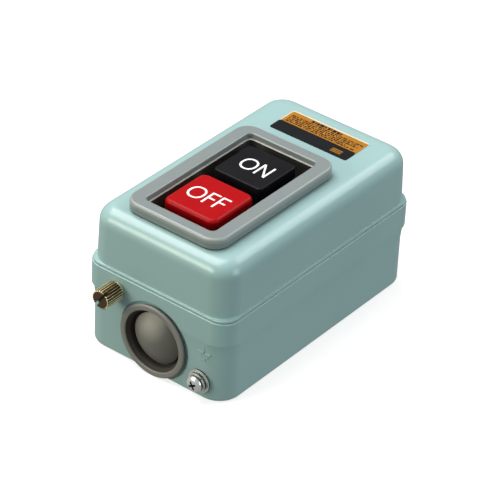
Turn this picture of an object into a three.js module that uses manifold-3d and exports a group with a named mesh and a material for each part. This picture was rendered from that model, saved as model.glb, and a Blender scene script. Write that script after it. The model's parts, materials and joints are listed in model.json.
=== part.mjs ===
// Push-button motor starter in a metal case, 131 x 77 x 73 mm without its screws and hinge.
// Frame: origin at the centre of the flat back of the case, +Z out of the wall,
// +Y towards the hinged end, -Y towards the visible cable entry. Millimetres.
import * as THREE from 'three';
import { mergeVertices } from 'three/addons/utils/BufferGeometryUtils.js';
import Module from 'manifold-3d';

const wasm = await Module();
wasm.setup();

// ---------------------------------------------------------------- driving dimensions
const CASE_WIDTH = 77;
const CASE_LENGTH = 131;
const RIM_RADIUS = 8.5;
const PARTING_Z = 40.6;
const PARTING_GAP = 0.4;
const COVER_TOP_Z = 67.3;
const BEZEL_TOP_Z = 72.7;
const BUTTON_TOP_Z = 72;
const GAP = 0.3;
const FIT = 0.1;

// case
const BODY_INSET = 0.45;
const BODY_RADIUS = 10;
const RIM_LOW_Z = 29;
const RIM_FLARE = 4;
const FLOOR = 2.4;
const WALL_INNER_X = CASE_WIDTH / 2 - 2.8;
const WALL_INNER_Y = CASE_LENGTH / 2 - 2.8;
const CAVITY_RADIUS = 6;
const BODY_FACE_Y = CASE_LENGTH / 2 - BODY_INSET;
const RIM_FACE_Y = CASE_LENGTH / 2;

// cover
const COVER_INSET = 1.3;
const COVER_RADIUS = 10;
const COVER_WALL = 2.3;
const COVER_FILLET = 7;
const FLANGE_HEIGHT = 1.1;
const FLANGE_INSET = 0.45;
const COVER_INNER_Y = CASE_LENGTH / 2 - COVER_INSET - COVER_WALL;

// bezel frame round the buttons
const BEZEL = { x: 25.3, front: -56.8, rear: 25.1, radius: 7.4 };
const BEZEL_HOLE = { x: 18.35, front: -50.9, rear: 19.2, radius: 2.2 };
const BEZEL_SKIRT = 1.8;
const BEZEL_SKIRT_Z = 59.5;

// buttons
const OFF_CAP = { x: 14, front: -45, rear: -17.4, corner: 3.2, edge: 1.6 };
const ON_CAP = { x: 12.8, front: -12.9, rear: 12.2, corner: 1.6, edge: 0.8 };
const BUTTON_BOTTOM_Z = 60;
const BUTTON_WALL = 2.2;
const STEM_HALF = 4;
const BARB = 1.5;
const BARB_Z = [49.9, 52.1];

// cable grommets
const GROMMET_X = 0.6;
const GROMMET_Z = 17.3;
const GROMMET_RADIUS = 17.3;
const GROMMET_RING = 14.5;
const GROMMET_DISC = 12.1;
const GROMMET_HOLE = 14.3;
const GROMMET_SEAT = 18.1;
const GROMMET_SEAT_Y = BODY_FACE_Y - 0.5;

// screws on the front face
const THUMB_X = -19.75;
const THUMB_Z = 34.1;
const THUMB_HEAD_RADIUS = 4.7;
const THUMB_HEAD_LENGTH = 10.2;
const THUMB_SLOT = { width: 1.3, depth: 2.2, angle: 53.5 };
const THUMB_SHANK_RADIUS = 2;
const THUMB_HOLE_RADIUS = 2.4;
const THUMB_TIP_Y = -52.8;
const NUT_HALF = 4;
const NUT_THICKNESS = 3.2;
const NUT_SHELF = { x: 5.2, depth: 10.4, z: [THUMB_Z - 6.6, THUMB_Z - 4.4] };
const EARTH_X = 25.6;
const EARTH_Z = 8.8;
const SCREW_HOLE_RADIUS = 2.3;
const EARTH_BOSS_RADIUS = 4.2;
const EARTH_BOSS_DEPTH = 6;
const EARTH_SCREW = { head: 3.8, height: 2.6, shank: 1.9, length: 10 };
const EARTH_WASHER = { radius: 5.5, thickness: 1 };
const LOCK_WASHER = { radius: 4.5, thickness: 1.4 };
const WASHER_BORE = 2.2;

// hinge
const HINGE_Y = RIM_FACE_Y + 3.1;
const HINGE_Z = PARTING_Z + PARTING_GAP / 2;
const KNUCKLE_RADIUS = 2.7;
const HINGE_PIN_RADIUS = 1.25;
const HINGE_PIN_X = [8.7, 23.9];
const HINGE_BORE_X = [8, 25];
const KNUCKLE_SPANS = { base: [[9, 13], [19.6, 23.6]], cover: [[13.3, 19.3]] };

// switch unit
const POLE_Y = [-31, -16, -1];
const POLE_PITCH = 15;
const SWITCH_Y = [-51.5, 19.5];
const HOUSING_HALF_X = 19.8;
const DECK_HALF_X = 32.5;
const SWITCH_FLOOR_Z = 6;
const DECK_Z = 19;
const HOUSING_TOP_Z = 55;
const HOUSING_WALL = 2;
const STRIP_HALF_Y = 3.6;
const STRIP_Z = [DECK_Z + FIT, DECK_Z + 1.5];
const TERMINAL_X = 26.5;
const CONTACT_X = 10;
const CONTACT_TOP_Z = 22;
const BRIDGE_Z = 28.3;
const BRIDGE_THICKNESS = 1.2;
const CARRIAGE_LOW_Z = 26;
const CARRIAGE_PLATE_Z = [36, 40.5];
const ON_CENTRE_Y = (ON_CAP.front + ON_CAP.rear) / 2;
const OFF_CENTRE_Y = (OFF_CAP.front + OFF_CAP.rear) / 2;

// latch
const LATCH_Y = -17;
const LATCH_Z = 43.4;
const LATCH_PIN_RADIUS = 1.2;
const LATCH_HALF_X = 2.5;
const LATCH_ARM = 14.8;
const LATCH_LUG_X = LATCH_HALF_X + 2.5;
const LATCH_LUG_WIDTH = 1.6;
const CATCH_Y = [-8.2, -5.4];
const TOOTH = { y: -9.6, z: [49.6, 50.9] };

// fixing holes
const WALL_HOLES = [[0, -55.5], [-25, 45], [25, 45]];
const WALL_HOLE_RADIUS = 2.6;
const PAD = { radius: 5.5, height: 1.6 };
const SWITCH_SCREWS = [[-26.5, -45], [26.5, -45], [-26.5, 13.2], [26.5, 13.2]];
const SWITCH_SCREW = { head: 3.1, height: 2.2, shank: 1.35, length: 6 };
const SWITCH_SCREW_SEAT_Z = 9.5;
const POST = { radius: 3.6, hole: 1.5 };
const TERMINAL_SCREW = { head: 3.3, height: 2.4, shank: 1.9, length: 9 };
const CLAMP = { half: 3.6, thickness: 1 };

// springs
const BUTTON_SPRING = { radius: 6.9, wire: 0.5, turns: 4 };
const BUTTON_SPRING_TOP_Z = 69.2;
const CARRIAGE_SPRING = { radius: 2.1, wire: 0.4, turns: 5 };
const CONTACT_SPRING = { radius: 2.2, wire: 0.35, turns: 4 };
const LATCH_SPRING = { radius: 1.95, wire: 0.25, turns: 2.5 };

// rating plate on the cover
const PLATE = { x: 21.2, front: 35.4, rear: 53.2, radius: 1.2, z: [COVER_TOP_Z + 0.05, COVER_TOP_Z + 0.35] };

const ROUND = 28;
const SMALL = 12;

// ---------------------------------------------------------------- finishes
const finish = (color, roughness, metalness) => ({ color, roughness, metalness });
const PAINT = finish(0xbcdcd6, 0.35, 0.1);
const BEZEL_GREY = finish(0xa9b3b1, 0.5, 0);
const RUBBER = finish(0x6f6864, 0.8, 0);
const RED = finish(0xd61923, 0.35, 0);
const DARK = finish(0x303236, 0.4, 0);
const PHENOLIC = finish(0x1d1a19, 0.5, 0);
const ZINC = finish(0xc9ccd0, 0.3, 1);
const BRASS = finish(0xa58a55, 0.35, 1);
const COPPER = finish(0xc98b5e, 0.3, 1);
const STEEL = finish(0x9a9da1, 0.35, 1);
const GOLD = finish(0xc98a2b, 0.4, 0.3);

// ---------------------------------------------------------------- shapes
function roundedRect(halfX, halfY, radius, centreY = 0) {
  const shape = new THREE.Shape();
  shape.absarc(halfX - radius, centreY + halfY - radius, radius, 0, Math.PI / 2);
  shape.absarc(radius - halfX, centreY + halfY - radius, radius, Math.PI / 2, Math.PI);
  shape.absarc(radius - halfX, centreY - halfY + radius, radius, Math.PI, Math.PI * 1.5);
  shape.absarc(halfX - radius, centreY - halfY + radius, radius, Math.PI * 1.5, Math.PI * 2);
  return shape;
}

function span(halfX, front, rear, radius) {
  return roundedRect(halfX, (rear - front) / 2, radius, (rear + front) / 2);
}

function slab(shape, z0, z1, curveSegments = 3) {
  const geometry = new THREE.ExtrudeGeometry(shape, { depth: z1 - z0, bevelEnabled: false, curveSegments });
  return geometry.translate(0, 0, z0);
}

// A slab whose two end edges are rounded, or chamfered when steps is 1.
function softSlab(shape, z0, z1, height, inset, steps = 3, curveSegments = 3) {
  const geometry = new THREE.ExtrudeGeometry(shape, {
    depth: z1 - z0 - 2 * height,
    bevelThickness: height,
    bevelSize: inset,
    bevelOffset: -inset,
    bevelSegments: steps,
    curveSegments,
  });
  return geometry.translate(0, 0, z0 + height);
}

function box(x0, x1, y0, y1, z0, z1) {
  const geometry = new THREE.BoxGeometry(x1 - x0, y1 - y0, z1 - z0);
  return geometry.translate((x0 + x1) / 2, (y0 + y1) / 2, (z0 + z1) / 2);
}

function rodZ(x, y, z0, z1, radius, segments = SMALL) {
  const geometry = new THREE.CylinderGeometry(radius, radius, z1 - z0, segments);
  return geometry.rotateX(Math.PI / 2).translate(x, y, (z0 + z1) / 2);
}

function rodY(x, z, y0, y1, radius, segments = SMALL) {
  const geometry = new THREE.CylinderGeometry(radius, radius, y1 - y0, segments);
  return geometry.translate(x, (y0 + y1) / 2, z);
}

function rodX(y, z, x0, x1, radius, segments = SMALL) {
  const geometry = new THREE.CylinderGeometry(radius, radius, x1 - x0, segments);
  return geometry.rotateZ(Math.PI / 2).translate((x0 + x1) / 2, y, z);
}

// A turned piece from [radius, height] pairs, its axis along +Z.
function turned(profile, segments = SMALL) {
  const points = profile.map(([radius, height]) => new THREE.Vector2(radius, height));
  return new THREE.LatheGeometry(points, segments).rotateX(Math.PI / 2);
}

// A closed coil spring whose axis is the line x, y from z0 to z1.
class Helix extends THREE.Curve {
  constructor(radius, z0, z1, turns) {
    super();
    Object.assign(this, { radius, z0, z1, turns });
  }

  getPoint(t, target = new THREE.Vector3()) {
    const angle = t * this.turns * Math.PI * 2;
    const z = this.z0 + (this.z1 - this.z0) * t;
    return target.set(this.radius * Math.cos(angle), this.radius * Math.sin(angle), z);
  }
}

function coil(x, y, z0, z1, { radius, wire, turns }) {
  const path = new Helix(radius, z0 + wire, z1 - wire, turns);
  const angles = [0, 1, 2, 3, 4].map((i) => (i * Math.PI * 2) / 5);
  const corners = angles.map((angle) => new THREE.Vector2(wire * Math.cos(angle), wire * Math.sin(angle)));
  const section = new THREE.Shape(corners);
  const options = { extrudePath: path, steps: Math.round(turns * 8) };
  return new THREE.ExtrudeGeometry(section, options).translate(x, y, 0);
}

// ---------------------------------------------------------------- joining and cutting
function solid(geometry) {
  const bare = geometry.clone();
  bare.deleteAttribute('normal');
  bare.deleteAttribute('uv');
  const merged = mergeVertices(bare, 1e-5);
  return new wasm.Manifold(new wasm.Mesh({
    numProp: 3,
    vertProperties: new Float32Array(merged.attributes.position.array),
    triVerts: new Uint32Array(merged.index.array),
  }));
}

function join(...geometries) {
  return geometries.map(solid).reduce((whole, piece) => whole.add(piece));
}

function cut(body, ...geometries) {
  return geometries.map(solid).reduce((whole, piece) => whole.subtract(piece), body);
}

function geometryOf(body) {
  const mesh = body.getMesh();
  const geometry = new THREE.BufferGeometry();
  geometry.setAttribute('position', new THREE.BufferAttribute(new Float32Array(mesh.vertProperties), 3));
  geometry.setIndex(new THREE.BufferAttribute(new Uint32Array(mesh.triVerts), 1));
  geometry.computeVertexNormals();
  return geometry;
}

const starter = new THREE.Group();

function add(name, shape, look) {
  const geometry = shape.isBufferGeometry ? shape : geometryOf(shape);
  const mesh = new THREE.Mesh(geometry, new THREE.MeshStandardMaterial(look));
  mesh.name = name;
  starter.add(mesh);
  return mesh;
}

// ---------------------------------------------------------------- case
// The span between two distances from the centre plane, on the left (-1) or right (1).
function mirrored([inner, outer], side) {
  return side > 0 ? [inner, outer] : [-outer, -inner];
}

function knuckles(spans, webs) {
  const pieces = [];
  for (const side of [-1, 1]) {
    for (const [x0, x1] of spans.map((ends) => mirrored(ends, side))) {
      pieces.push(rodX(HINGE_Y, HINGE_Z, x0, x1, KNUCKLE_RADIUS, 20));
      pieces.push(webs(x0, x1));
    }
  }
  return pieces;
}

function hingeBores() {
  return [-1, 1].map((side) => (
    rodX(HINGE_Y, HINGE_Z, ...mirrored(HINGE_BORE_X, side), HINGE_PIN_RADIUS + GAP)
  ));
}

function baseHousing() {
  const bodyShape = roundedRect(CASE_WIDTH / 2 - BODY_INSET, BODY_FACE_Y, BODY_RADIUS);
  const rimShape = roundedRect(CASE_WIDTH / 2, RIM_FACE_Y, RIM_RADIUS);
  const pads = WALL_HOLES.map(([x, y]) => rodZ(x, y, FLOOR - 0.5, FLOOR + PAD.height, PAD.radius));
  const posts = SWITCH_SCREWS.map(([x, y]) => rodZ(x, y, FLOOR - 0.5, SWITCH_FLOOR_Z - FIT, POST.radius));
  const shell = cut(
    join(
      softSlab(bodyShape, 0, RIM_LOW_Z, 1.2, 1, 2),
      slab(bodyShape, RIM_LOW_Z - RIM_FLARE - 4, RIM_LOW_Z),
      softSlab(rimShape, RIM_LOW_Z - RIM_FLARE, PARTING_Z + RIM_FLARE, RIM_FLARE, BODY_INSET, 1),
    ),
    slab(roundedRect(WALL_INNER_X, WALL_INNER_Y, CAVITY_RADIUS), FLOOR, PARTING_Z + 10),
    box(-50, 50, -80, 80, PARTING_Z, PARTING_Z + 20),
  );
  const innerFace = -WALL_INNER_Y;
  const shelfEnd = innerFace + NUT_SHELF.depth;
  const fittings = join(
    ...pads,
    ...posts,
    rodY(EARTH_X, EARTH_Z, innerFace - 1, innerFace + EARTH_BOSS_DEPTH, EARTH_BOSS_RADIUS),
    box(THUMB_X - NUT_SHELF.x, THUMB_X + NUT_SHELF.x, innerFace - 1, shelfEnd, ...NUT_SHELF.z),
    ...knuckles(KNUCKLE_SPANS.base, (x0, x1) => (
      box(x0, x1, RIM_FACE_Y - 1, HINGE_Y, HINGE_Z - KNUCKLE_RADIUS, PARTING_Z)
    )),
  );
  const holes = [
    ...WALL_HOLES.map(([x, y]) => rodZ(x, y, -1, FLOOR + 5, WALL_HOLE_RADIUS)),
    ...SWITCH_SCREWS.map(([x, y]) => rodZ(x, y, FLOOR - 0.8, SWITCH_FLOOR_Z + 1, POST.hole)),
    rodY(GROMMET_X, GROMMET_Z, -BODY_FACE_Y - 3, innerFace + 1, GROMMET_HOLE, ROUND),
    rodY(GROMMET_X, GROMMET_Z, -innerFace - 1, BODY_FACE_Y + 3, GROMMET_HOLE, ROUND),
    rodY(GROMMET_X, GROMMET_Z, -BODY_FACE_Y - 3, -GROMMET_SEAT_Y, GROMMET_SEAT, ROUND),
    rodY(GROMMET_X, GROMMET_Z, GROMMET_SEAT_Y, BODY_FACE_Y + 3, GROMMET_SEAT, ROUND),
    rodY(THUMB_X, THUMB_Z, -RIM_FACE_Y - 3, innerFace + 0.5, THUMB_HOLE_RADIUS),
    rodY(EARTH_X, EARTH_Z, -BODY_FACE_Y - 3, innerFace + EARTH_BOSS_DEPTH + 1, SCREW_HOLE_RADIUS),
    ...hingeBores(),
  ];
  return cut(shell.add(fittings), ...holes);
}

// A rubber plug in the case wall: outer ring, deep groove and a domed membrane still to be cut through.
function grommet(side) {
  const neck = GROMMET_HOLE - GAP;
  const lip = GROMMET_HOLE + 0.4;
  const grooveWall = neck - 0.6;
  const profile = [
    [0, BODY_FACE_Y - 0.4],
    [GROMMET_DISC * 0.5, BODY_FACE_Y - 1.1],
    [GROMMET_DISC - 1.4, BODY_FACE_Y - 2.6],
    [GROMMET_DISC - 0.8, WALL_INNER_Y - 1.5],
    [lip, WALL_INNER_Y - 1.5],
    [lip, WALL_INNER_Y - GAP],
    [neck, WALL_INNER_Y - GAP],
    [neck, GROMMET_SEAT_Y + FIT],
    [GROMMET_RADIUS - 1, GROMMET_SEAT_Y + FIT],
    [GROMMET_RADIUS - 1, BODY_FACE_Y + 0.6],
    [GROMMET_RADIUS, BODY_FACE_Y + 0.8],
    [GROMMET_RADIUS, BODY_FACE_Y + 1.5],
    [GROMMET_RADIUS - 0.7, BODY_FACE_Y + 2],
    [GROMMET_RING + 0.7, BODY_FACE_Y + 2],
    [GROMMET_RING, BODY_FACE_Y + 1.4],
    [grooveWall, BODY_FACE_Y - 0.4],
    [grooveWall, WALL_INNER_Y - 0.7],
    [GROMMET_DISC - 0.2, WALL_INNER_Y - 0.7],
    [GROMMET_DISC, BODY_FACE_Y - 2.1],
    [GROMMET_DISC - 0.4, BODY_FACE_Y - 1.6],
    [GROMMET_DISC * 0.75, BODY_FACE_Y - 0.3],
    [GROMMET_DISC * 0.5, BODY_FACE_Y + 0.76],
    [GROMMET_DISC * 0.25, BODY_FACE_Y + 1.4],
    [0, BODY_FACE_Y + 1.6],
  ];
  const points = profile.map(([radius, y]) => new THREE.Vector2(radius, y));
  const geometry = new THREE.LatheGeometry(points, ROUND);
  if (side < 0) {
    geometry.rotateX(Math.PI);
  }
  return geometry.translate(GROMMET_X, 0, GROMMET_Z);
}

function hingePin(side) {
  return rodX(HINGE_Y, HINGE_Z, ...mirrored(HINGE_PIN_X, side), HINGE_PIN_RADIUS);
}

// ---------------------------------------------------------------- front-face screws
const THUMB_HEAD_Y = -RIM_FACE_Y - 0.8;
const CLIP_Y = [-WALL_INNER_Y + 0.3, -WALL_INNER_Y + 1.1];
const TONGUE_Y = [-WALL_INNER_Y + 1.8, -WALL_INNER_Y + 3.6];
const NUT_Y = [TONGUE_Y[1] + GAP, TONGUE_Y[1] + GAP + NUT_THICKNESS];

function thumbScrew() {
  const headEnd = THUMB_HEAD_Y - THUMB_HEAD_LENGTH;
  const ridges = 16;
  const outline = new THREE.Shape();
  for (let i = 0; i < ridges * 2; i += 1) {
    const radius = THUMB_HEAD_RADIUS - (i % 2 ? 0.55 : 0);
    const angle = (i * Math.PI) / ridges;
    const point = [radius * Math.cos(angle), radius * Math.sin(angle)];
    if (i === 0) {
      outline.moveTo(...point);
    } else {
      outline.lineTo(...point);
    }
  }
  const bevel = 0.5;
  const collar = 1.1;
  const head = new THREE.ExtrudeGeometry(outline, {
    depth: THUMB_HEAD_LENGTH - collar - 2 * bevel,
    bevelThickness: bevel,
    bevelSize: bevel,
    bevelOffset: -bevel,
    bevelSegments: 1,
  });
  head.rotateX(Math.PI / 2).translate(THUMB_X, THUMB_HEAD_Y - collar - bevel, THUMB_Z);
  const halfSlot = THUMB_SLOT.width / 2;
  const slot = box(-6, 6, headEnd - 1, headEnd + THUMB_SLOT.depth, -halfSlot, halfSlot);
  slot.rotateY((-THUMB_SLOT.angle * Math.PI) / 180).translate(THUMB_X, 0, THUMB_Z);
  return cut(
    join(
      head,
      rodY(THUMB_X, THUMB_Z, THUMB_HEAD_Y - 1.5, THUMB_HEAD_Y, 3.6),
      rodY(THUMB_X, THUMB_Z, THUMB_HEAD_Y - 1, THUMB_TIP_Y, THUMB_SHANK_RADIUS),
    ),
    slot,
  );
}

function washerY(x, z, y0, y1, outer, inner, segments = SMALL) {
  return cut(
    join(rodY(x, z, y0, y1, outer, segments)),
    rodY(x, z, y0 - 1, y1 + 1, inner, segments),
  );
}

function clampNut() {
  return cut(
    join(box(THUMB_X - NUT_HALF, THUMB_X + NUT_HALF, ...NUT_Y, THUMB_Z - NUT_HALF, THUMB_Z + NUT_HALF)),
    rodY(THUMB_X, THUMB_Z, NUT_Y[0] - 1, NUT_Y[1] + 1, THUMB_SHANK_RADIUS + GAP),
  );
}

const EARTH_WASHER_Y = -BODY_FACE_Y - FIT;
const EARTH_LOCK_Y = EARTH_WASHER_Y - EARTH_WASHER.thickness - FIT;
const EARTH_HEAD_Y = EARTH_LOCK_Y - LOCK_WASHER.thickness - FIT;

// A pan head with a cross recess, its axis along +Z and its head standing on z = 0.
function panScrew({ head, height, shank, length }) {
  const blank = turned([
    [0, -length],
    [shank, -length],
    [shank, 0],
    [head, 0],
    [head, height * 0.45],
    [head * 0.8, height * 0.85],
    [head * 0.45, height],
    [0, height],
  ]);
  const slot = head * 0.55;
  const width = head * 0.14;
  const recess = [height * 0.5, height + 1];
  return geometryOf(cut(
    join(blank),
    box(-slot, slot, -width, width, ...recess),
    box(-width, width, -slot, slot, ...recess),
  ));
}

// ---------------------------------------------------------------- cover
function coverShell() {
  const flange = roundedRect(CASE_WIDTH / 2 - FLANGE_INSET, RIM_FACE_Y - FLANGE_INSET, RIM_RADIUS);
  const outline = roundedRect(CASE_WIDTH / 2 - COVER_INSET, RIM_FACE_Y - COVER_INSET, COVER_RADIUS);
  const hollow = roundedRect(
    CASE_WIDTH / 2 - COVER_INSET - COVER_WALL,
    COVER_INNER_Y,
    COVER_RADIUS - COVER_WALL,
  );
  const lowZ = PARTING_Z + PARTING_GAP;
  const innerTop = COVER_TOP_Z - COVER_WALL;
  const opening = span(BEZEL_HOLE.x + BEZEL_SKIRT + GAP, BEZEL_HOLE.front - BEZEL_SKIRT - GAP,
    BEZEL_HOLE.rear + BEZEL_SKIRT + GAP, 4);
  const shell = cut(
    join(
      softSlab(outline, lowZ - COVER_FILLET, COVER_TOP_Z, COVER_FILLET, COVER_FILLET - 1, 5),
      slab(flange, lowZ, lowZ + FLANGE_HEIGHT),
      softSlab(flange, lowZ - 2, lowZ + FLANGE_HEIGHT + 1.6, 1.6, 0.6, 2),
    ),
    softSlab(hollow, lowZ - 12, innerTop, COVER_FILLET - 2, COVER_FILLET - 3, 3),
    slab(opening, innerTop - 5, COVER_TOP_Z + 5),
    box(-50, 50, -90, 90, lowZ - 20, lowZ),
  );
  const arms = join(
    box(THUMB_X - 8, THUMB_X + 8, -COVER_INNER_Y - 0.6, TONGUE_Y[1], lowZ + 3, lowZ + 9),
    box(THUMB_X - 8, THUMB_X + 8, ...TONGUE_Y, THUMB_Z - 3.6, lowZ + 8),
    ...knuckles(KNUCKLE_SPANS.cover, (x0, x1) => (
      box(x0, x1, RIM_FACE_Y - 1.5, HINGE_Y, lowZ, HINGE_Z + KNUCKLE_RADIUS)
    )),
  );
  return cut(
    shell.add(arms),
    rodY(THUMB_X, THUMB_Z, TONGUE_Y[0] - 0.5, TONGUE_Y[1] + 0.5, 2.6),
    box(THUMB_X - 2.6, THUMB_X + 2.6, TONGUE_Y[0] - 0.5, TONGUE_Y[1] + 0.5, THUMB_Z - 8, THUMB_Z),
    ...hingeBores(),
  );
}

function bezelFrame() {
  const { x, front, rear } = BEZEL_HOLE;
  const skirt = span(x + BEZEL_SKIRT, front - BEZEL_SKIRT, rear + BEZEL_SKIRT, 3.6);
  const frame = span(BEZEL.x, BEZEL.front, BEZEL.rear, BEZEL.radius);
  return cut(
    join(
      softSlab(frame, COVER_TOP_Z + FIT, BEZEL_TOP_Z, 0.9, 0.9, 2),
      slab(frame, COVER_TOP_Z + FIT, COVER_TOP_Z + 3),
      slab(skirt, BEZEL_SKIRT_Z, BEZEL_TOP_Z - 1),
    ),
    slab(span(x, front, rear, BEZEL_HOLE.radius), BEZEL_TOP_Z - 2.7, BEZEL_TOP_Z + 1),
    slab(span(x - 0.6, front + 0.6, rear - 0.6, BEZEL_HOLE.radius), BEZEL_SKIRT_Z - 1, BEZEL_TOP_Z),
  );
}

// ---------------------------------------------------------------- buttons
function button({ x, front, rear, corner, edge }, stemZ) {
  const centre = (front + rear) / 2;
  const cap = span(x, front, rear, corner);
  const hollow = span(x - BUTTON_WALL, front + BUTTON_WALL, rear - BUTTON_WALL, 1);
  const hollowTop = BUTTON_TOP_Z - 2.6;
  return cut(
    join(softSlab(cap, BUTTON_BOTTOM_Z - 3, BUTTON_TOP_Z, edge, edge, 3)),
    slab(hollow, BUTTON_BOTTOM_Z - 5, hollowTop),
    box(-20, 20, front - 5, rear + 5, BUTTON_BOTTOM_Z - 10, BUTTON_BOTTOM_Z),
  ).add(join(
    box(-STEM_HALF, STEM_HALF, centre - STEM_HALF, centre + STEM_HALF, BARB_Z[0], hollowTop + 0.5),
    box(-STEM_HALF - BARB, STEM_HALF + BARB, centre - 3, centre + 3, ...BARB_Z),
    box(-3, 3, centre - 2, centre + 2, stemZ, BARB_Z[1]),
  ));
}

// ---------------------------------------------------------------- switch unit
function switchBase() {
  const ribY = [...POLE_Y, POLE_Y[2] + POLE_PITCH].map((y) => y - POLE_PITCH / 2);
  const ribs = ribY.flatMap((y) => [-1, 1].map((side) => {
    const ends = mirrored([HOUSING_HALF_X + 0.8, DECK_HALF_X - 0.4], side);
    return box(...ends, y - 0.7, y + 0.7, DECK_Z - 1, DECK_Z + 7.5);
  }));
  const wells = POLE_Y.flatMap((y) => [-1, 1].map((side) => (
    rodZ(side * TERMINAL_X, y, 9, DECK_Z + 1, 2.4)
  )));
  const screwHoles = SWITCH_SCREWS.flatMap(([x, y]) => [
    rodZ(x, y, SWITCH_FLOOR_Z - 1, DECK_Z + 1, 1.9),
    rodZ(x, y, SWITCH_SCREW_SEAT_Z, DECK_Z + 1, POST.radius),
  ]);
  const block = slab(span(DECK_HALF_X, ...SWITCH_Y, 1.5), SWITCH_FLOOR_Z, DECK_Z, 1);
  return cut(join(block, ...ribs), ...wells, ...screwHoles);
}

function switchHousing() {
  const [front, rear] = SWITCH_Y;
  const inner = span(HOUSING_HALF_X - HOUSING_WALL, front + HOUSING_WALL, rear - HOUSING_WALL, 1);
  const stem = STEM_HALF + 0.35;
  const roof = HOUSING_TOP_Z - 2.5;
  const passages = POLE_Y.map((y) => (
    box(-40, 40, y - STRIP_HALF_Y - 0.5, y + STRIP_HALF_Y + 0.5, DECK_Z - 1, DECK_Z + 2)
  ));
  const shell = cut(
    join(slab(span(HOUSING_HALF_X, front, rear, 1.5), DECK_Z + FIT, HOUSING_TOP_Z, 1)),
    slab(inner, DECK_Z - 2, roof, 1),
    ...[ON_CENTRE_Y, OFF_CENTRE_Y].map((y) => (
      box(-stem, stem, y - stem, y + stem, HOUSING_TOP_Z - 5, HOUSING_TOP_Z + 5)
    )),
    ...passages,
  );
  const lugs = join(...[-LATCH_LUG_X - LATCH_LUG_WIDTH, LATCH_LUG_X].map((x) => (
    box(x, x + LATCH_LUG_WIDTH, LATCH_Y - 3, LATCH_Y + 3, LATCH_Z - 2.5, roof + 1)
  )));
  return cut(shell.add(lugs), rodX(LATCH_Y, LATCH_Z, -12, 12, LATCH_PIN_RADIUS + FIT));
}

// A copper strip from a terminal screw outside the housing to a fixed contact inside it.
function terminal(side, y) {
  const ends = mirrored([CONTACT_X - 2.6, TERMINAL_X + 4.4], side);
  return cut(
    join(
      box(...ends, y - STRIP_HALF_Y, y + STRIP_HALF_Y, ...STRIP_Z),
      rodZ(side * CONTACT_X, y, STRIP_Z[0] + 0.5, CONTACT_TOP_Z, 2.4),
    ),
    rodZ(side * TERMINAL_X, y, STRIP_Z[0] - 1, STRIP_Z[1] + 1, SCREW_HOLE_RADIUS),
  );
}

const CLAMP_Z = [STRIP_Z[1] + FIT, STRIP_Z[1] + FIT + CLAMP.thickness];

function clampPlate(x, y) {
  return cut(
    join(box(x - CLAMP.half, x + CLAMP.half, y - CLAMP.half, y + CLAMP.half, ...CLAMP_Z)),
    rodZ(x, y, CLAMP_Z[0] - 1, CLAMP_Z[1] + 1, SCREW_HOLE_RADIUS),
  );
}

function movingContact(y) {
  return join(
    box(-CONTACT_X - 2.5, CONTACT_X + 2.5, y - 2.8, y + 2.8, BRIDGE_Z, BRIDGE_Z + BRIDGE_THICKNESS),
    rodZ(-CONTACT_X, y, BRIDGE_Z - 1.4, BRIDGE_Z + 0.5, 2.2),
    rodZ(CONTACT_X, y, BRIDGE_Z - 1.4, BRIDGE_Z + 0.5, 2.2),
  );
}

function contactCarriage() {
  const [plateLow, plateTop] = CARRIAGE_PLATE_Z;
  const windowTop = plateLow - 0.4;
  const posts = POLE_Y.map((y) => box(-5, 5, y - 4.6, y + 4.6, CARRIAGE_LOW_Z, plateLow + 1));
  const windows = POLE_Y.map((y) => box(-20, 20, y - 3.3, y + 3.3, BRIDGE_Z - GAP, windowTop));
  return cut(
    join(
      box(-8.5, 8.5, POLE_Y[0] - 7, POLE_Y[2] + 7, plateLow, plateTop),
      box(-3.5, 3.5, ...CATCH_Y, plateTop - 1, TOOTH.z[1] + 0.3),
      box(-3.5, 3.5, TOOTH.y, CATCH_Y[0] + 1, ...TOOTH.z),
      ...posts,
    ),
    ...windows,
    box(-3.6, 3.6, POLE_Y[0] - 5.5, LATCH_Y + 5, plateLow + 1.9, plateTop + 1),
  );
}

// The latch in (y, z) about its pivot: hub, arm under the OFF stem, and hook over the carriage tooth.
function latchLever() {
  const tip = TOOTH.y - GAP - LATCH_Y;
  const outline = (corners) => new THREE.Shape(corners.map(([y, z]) => new THREE.Vector2(y, z)));
  const hook = outline([
    [-2, 0], [2.4, 0], [3.4, 3.2], [tip - 0.8, 3.4], [tip, 3.9], [tip, 5], [tip - 0.8, 5.4], [0, 5.4],
  ]);
  const arm = outline([[0, -2.4], [0, 2.4], [-LATCH_ARM, 2.6], [-LATCH_ARM, -0.1]]);
  // (x, y, z) of an extrusion becomes (y, z, x) of the starter
  const basis = new THREE.Matrix4().set(
    0, 0, 1, -LATCH_HALF_X,
    1, 0, 0, LATCH_Y,
    0, 1, 0, LATCH_Z,
    0, 0, 0, 1,
  );
  const plate = (shape) => {
    const geometry = new THREE.ExtrudeGeometry(shape, { depth: 2 * LATCH_HALF_X, bevelEnabled: false });
    return geometry.applyMatrix4(basis);
  };
  return cut(
    join(
      plate(hook),
      plate(arm),
      rodX(LATCH_Y, LATCH_Z, -LATCH_HALF_X, LATCH_HALF_X, 2.5),
      rodX(LATCH_Y - LATCH_ARM, LATCH_Z + 1.4, -LATCH_HALF_X, LATCH_HALF_X, 1.8),
    ),
    rodX(LATCH_Y, LATCH_Z, -10, 10, LATCH_PIN_RADIUS + GAP),
  );
}

// ---------------------------------------------------------------- assembly
add('base_housing', baseHousing(), PAINT);
add('cable_grommet_front', grommet(-1), RUBBER);
add('cable_grommet_rear', grommet(1), RUBBER);
add('hinge_pin_left', hingePin(-1), STEEL);
add('hinge_pin_right', hingePin(1), STEEL);

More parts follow.
